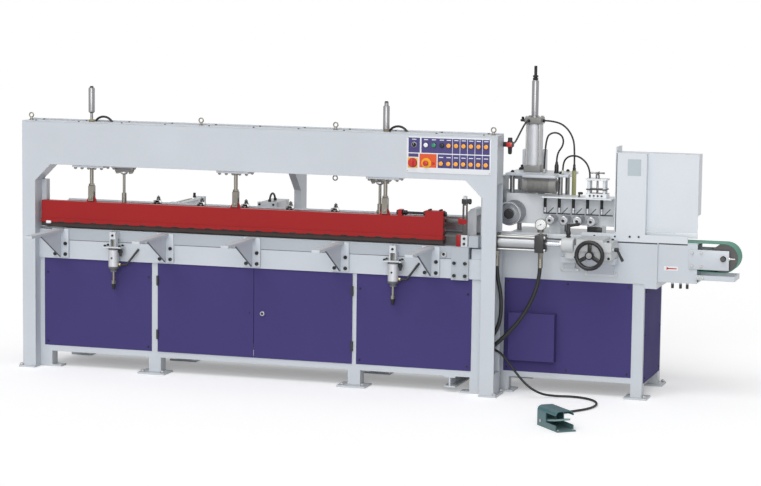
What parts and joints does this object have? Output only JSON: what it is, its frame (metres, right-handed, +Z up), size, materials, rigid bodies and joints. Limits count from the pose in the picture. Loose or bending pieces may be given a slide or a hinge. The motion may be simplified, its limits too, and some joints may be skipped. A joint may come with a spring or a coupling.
{
  "type": "finger joint press",
  "caption": "Finger joint press: gantry frame with a lifting press beam over a long bed, and an infeed with feed rollers, saw, hydraulic ram, belt and foot pedal.",
  "frame": {"origin": "on the floor, midway between the anchor holes of the press frame's four corner feet", "axes": "+X along the machine towards the infeed, +Y to the rear, +Z up"},
  "size_m": [4.502, 1.812, 1.963],
  "materials": {
    "paint_grey": "satin light bluish grey paint",
    "paint_purple": "satin purple paint",
    "paint_red": "satin red paint",
    "steel": "bright machined steel",
    "dark_steel": "ground dark steel",
    "press_pad": "dull brown strip",
    "panel_white": "satin white plate",
    "amber": "glossy amber caps",
    "green": "glossy green cap",
    "black_plastic": "matte black plastic",
    "red_plastic": "glossy red plastic",
    "belt": "green belt",
    "teal": "hammered teal paint",
    "pale_metal": "pale paint",
    "hose_rubber": "black rubber"
  },
  "bodies": {
    "machine": {"air_cylinders": "steel", "air_regulator": "black_plastic", "base_frame": "paint_grey", "bed_plate": "dark_steel", "cabinet_panels": "paint_purple", "control_panel": "panel_white", "conveyor_beam": "paint_grey", "conveyor_belt": "belt", "end_guide": "paint_grey", "feed_head": "paint_grey", "gantry_cover": "paint_grey", "gantry_frame": "paint_grey", "guard_box": "paint_grey", "hydraulic_hoses": "hose_rubber", "infeed_casing": "paint_grey", "infeed_frame": "paint_grey", "pedal_body": "teal", "pedal_cable": "hose_rubber", "press_cylinders": "steel", "ram_cylinder": "steel", "rear_fence": "steel", "saw_hoses": "hose_rubber", "saw_stand": "steel", "support_arms": "paint_grey", "table_rail": "paint_grey"},
    "press": {"press_beam": "paint_red", "press_pad": "press_pad", "press_rods": "steel"},
    "pusher": {"side_pusher": "steel"},
    "stops": {"stop_pins": "steel"},
    "door_left": {"left_door": "paint_purple"},
    "door_right": {"right_door": "paint_purple"},
    "tail_drum": {"tail_pulley": "steel"},
    "head_drum": {"head_pulley": "steel"},
    "main_roller": {"main_feed_roller": "steel"},
    "small_roller_1": {"feed_roller_1": "steel"},
    "small_roller_2": {"feed_roller_2": "steel"},
    "small_roller_3": {"feed_roller_3": "steel"},
    "small_roller_4": {"feed_roller_4": "steel"},
    "saw": {"saw_carriage": "steel"},
    "blade": {"saw_blade": "steel"},
    "ram_carriage": {"carriage": "steel"},
    "slide": {"cross_slide": "steel"},
    "wheel": {"handwheel": "black_plastic"},
    "lever_left": {"clamp_lever_left": "black_plastic"},
    "lever_right": {"clamp_lever_right": "black_plastic"},
    "star": {"height_handwheel": "steel"},
    "treadle": {"pedal_treadle": "pale_metal"},
    "key_1": {"button_1": "amber"},
    "key_2": {"button_2": "amber"},
    "key_3": {"button_3": "amber"},
    "key_4": {"button_4": "amber"},
    "key_5": {"button_5": "amber"},
    "key_6": {"button_6": "amber"},
    "key_7": {"button_7": "amber"},
    "start_key": {"start_button": "green"},
    "black_key": {"black_button": "black_plastic"},
    "stop_key": {"emergency_stop": "red_plastic"},
    "selector_knob": {"selector": "black_plastic"},
    "switch_knob": {"main_switch": "red_plastic"}
  },
  "joints": [
    {"name": "press_lift", "type": "slide", "parent": "machine", "child": "press", "axis": [0, 0, 1], "range_m": [-0.01, 0.09]},
    {"name": "pusher_reach", "type": "slide", "parent": "machine", "child": "pusher", "axis": [0, -1, 0], "range_m": [0, 0.08]},
    {"name": "stop_rise", "type": "slide", "parent": "machine", "child": "stops", "axis": [0, 0, 1], "range_m": [0, 0.045]},
    {"name": "left_door_swing", "type": "hinge", "parent": "machine", "child": "door_left", "pos_m": [-0.649, -0.2855, 0], "axis": [0, 0, -1], "range_deg": [0, 110]},
    {"name": "right_door_swing", "type": "hinge", "parent": "machine", "child": "door_right", "pos_m": [0.628, -0.2855, 0], "axis": [0, 0, 1], "range_deg": [0, 110]},
    {"name": "tail_turn", "type": "hinge", "parent": "machine", "child": "tail_drum", "pos_m": [2.855, 0, 0.869], "axis": [0, 1, 0], "continuous": true},
    {"name": "head_turn", "type": "hinge", "parent": "machine", "child": "head_drum", "pos_m": [2.3, 0, 0.869], "axis": [0, 1, 0], "continuous": true},
    {"name": "main_roller_turn", "type": "hinge", "parent": "machine", "child": "main_roller", "pos_m": [1.545, 0, 1.078], "axis": [0, 1, 0], "continuous": true},
    {"name": "small_roller_1_turn", "type": "hinge", "parent": "machine", "child": "small_roller_1", "pos_m": [1.793, 0, 1.048], "axis": [0, 1, 0], "continuous": true},
    {"name": "small_roller_2_turn", "type": "hinge", "parent": "machine", "child": "small_roller_2", "pos_m": [1.877, 0, 1.048], "axis": [0, 1, 0], "continuous": true},
    {"name": "small_roller_3_turn", "type": "hinge", "parent": "machine", "child": "small_roller_3", "pos_m": [1.961, 0, 1.048], "axis": [0, 1, 0], "continuous": true},
    {"name": "small_roller_4_turn", "type": "hinge", "parent": "machine", "child": "small_roller_4", "pos_m": [2.045, 0, 1.048], "axis": [0, 1, 0], "continuous": true},
    {"name": "saw_lower", "type": "slide", "parent": "machine", "child": "saw", "axis": [0, 0, -1], "range_m": [0, 0.085]},
    {"name": "blade_spin", "type": "hinge", "parent": "saw", "child": "blade", "pos_m": [1.41, -0.03, 1.15], "axis": [1, 0, 0], "continuous": true},
    {"name": "ram_pull", "type": "slide", "parent": "machine", "child": "ram_carriage", "axis": [1, 0, 0], "range_m": [-0.08, 0]},
    {"name": "cross_feed", "type": "slide", "parent": "ram_carriage", "child": "slide", "axis": [0, 1, 0], "range_m": [-0.02, 0.02]},
    {"name": "wheel_turn", "type": "hinge", "parent": "ram_carriage", "child": "wheel", "pos_m": [2.109, -0.32, 0.883], "axis": [0, 1, 0], "range_deg": [-720, 720]},
    {"name": "left_lever_turn", "type": "hinge", "parent": "ram_carriage", "child": "lever_left", "pos_m": [1.962, -0.275, 0.931], "axis": [0, 0, 1], "range_deg": [0, 90]},
    {"name": "right_lever_turn", "type": "hinge", "parent": "slide", "child": "lever_right", "pos_m": [2.2545, -0.285, 0.915], "axis": [-1, 0, 0], "range_deg": [0, 60]},
    {"name": "star_turn", "type": "hinge", "parent": "machine", "child": "star", "pos_m": [2.065, 0.035, 1.19], "axis": [0, 0, 1], "range_deg": [-720, 720]},
    {"name": "treadle_press", "type": "hinge", "parent": "machine", "child": "treadle", "pos_m": [2.05736, -1.08689, 0.032], "axis": [0.766, 0.6428, 0], "range_deg": [0, 10], "stiffness_Nm_per_rad": 10, "springref_deg": -20.05},
    {"name": "key_1_press", "type": "slide", "parent": "machine", "child": "key_1", "axis": [0, 1, 0], "range_m": [0, 0.004], "stiffness_N_per_m": 300, "springref_m": -0.002},
    {"name": "key_2_press", "type": "slide", "parent": "machine", "child": "key_2", "axis": [0, 1, 0], "range_m": [0, 0.004], "stiffness_N_per_m": 300, "springref_m": -0.002},
    {"name": "key_3_press", "type": "slide", "parent": "machine", "child": "key_3", "axis": [0, 1, 0], "range_m": [0, 0.004], "stiffness_N_per_m": 300, "springref_m": -0.002},
    {"name": "key_4_press", "type": "slide", "parent": "machine", "child": "key_4", "axis": [0, 1, 0], "range_m": [0, 0.004], "stiffness_N_per_m": 300, "springref_m": -0.002},
    {"name": "key_5_press", "type": "slide", "parent": "machine", "child": "key_5", "axis": [0, 1, 0], "range_m": [0, 0.004], "stiffness_N_per_m": 300, "springref_m": -0.002},
    {"name": "key_6_press", "type": "slide", "parent": "machine", "child": "key_6", "axis": [0, 1, 0], "range_m": [0, 0.004], "stiffness_N_per_m": 300, "springref_m": -0.002},
    {"name": "key_7_press", "type": "slide", "parent": "machine", "child": "key_7", "axis": [0, 1, 0], "range_m": [0, 0.004], "stiffness_N_per_m": 300, "springref_m": -0.002},
    {"name": "start_press", "type": "slide", "parent": "machine", "child": "start_key", "axis": [0, 1, 0], "range_m": [0, 0.004], "stiffness_N_per_m": 300, "springref_m": -0.002},
    {"name": "black_press", "type": "slide", "parent": "machine", "child": "black_key", "axis": [0, 1, 0], "range_m": [0, 0.004], "stiffness_N_per_m": 300, "springref_m": -0.002},
    {"name": "stop_press", "type": "slide", "parent": "machine", "child": "stop_key", "axis": [0, 1, 0], "range_m": [0, 0.005]},
    {"name": "selector_turn", "type": "hinge", "parent": "machine", "child": "selector_knob", "pos_m": [1.028, -0.358, 1.499], "axis": [0, 1, 0], "range_deg": [-45, 45]},
    {"name": "switch_turn", "type": "hinge", "parent": "machine", "child": "switch_knob", "pos_m": [1.02, -0.358, 1.391], "axis": [0, 1, 0], "range_deg": [0, 90]}
  ],
  "couplings": [
    {"joint": "head_turn", "follows": "tail_turn", "ratio": 1},
    {"joint": "small_roller_1_turn", "follows": "main_roller_turn", "ratio": 2.5714},
    {"joint": "small_roller_2_turn", "follows": "main_roller_turn", "ratio": 2.5714},
    {"joint": "small_roller_3_turn", "follows": "main_roller_turn", "ratio": 2.5714},
    {"joint": "small_roller_4_turn", "follows": "main_roller_turn", "ratio": 2.5714},
    {"joint": "cross_feed", "follows": "wheel_turn", "m_per_rad": 0.0015915}
  ]
}
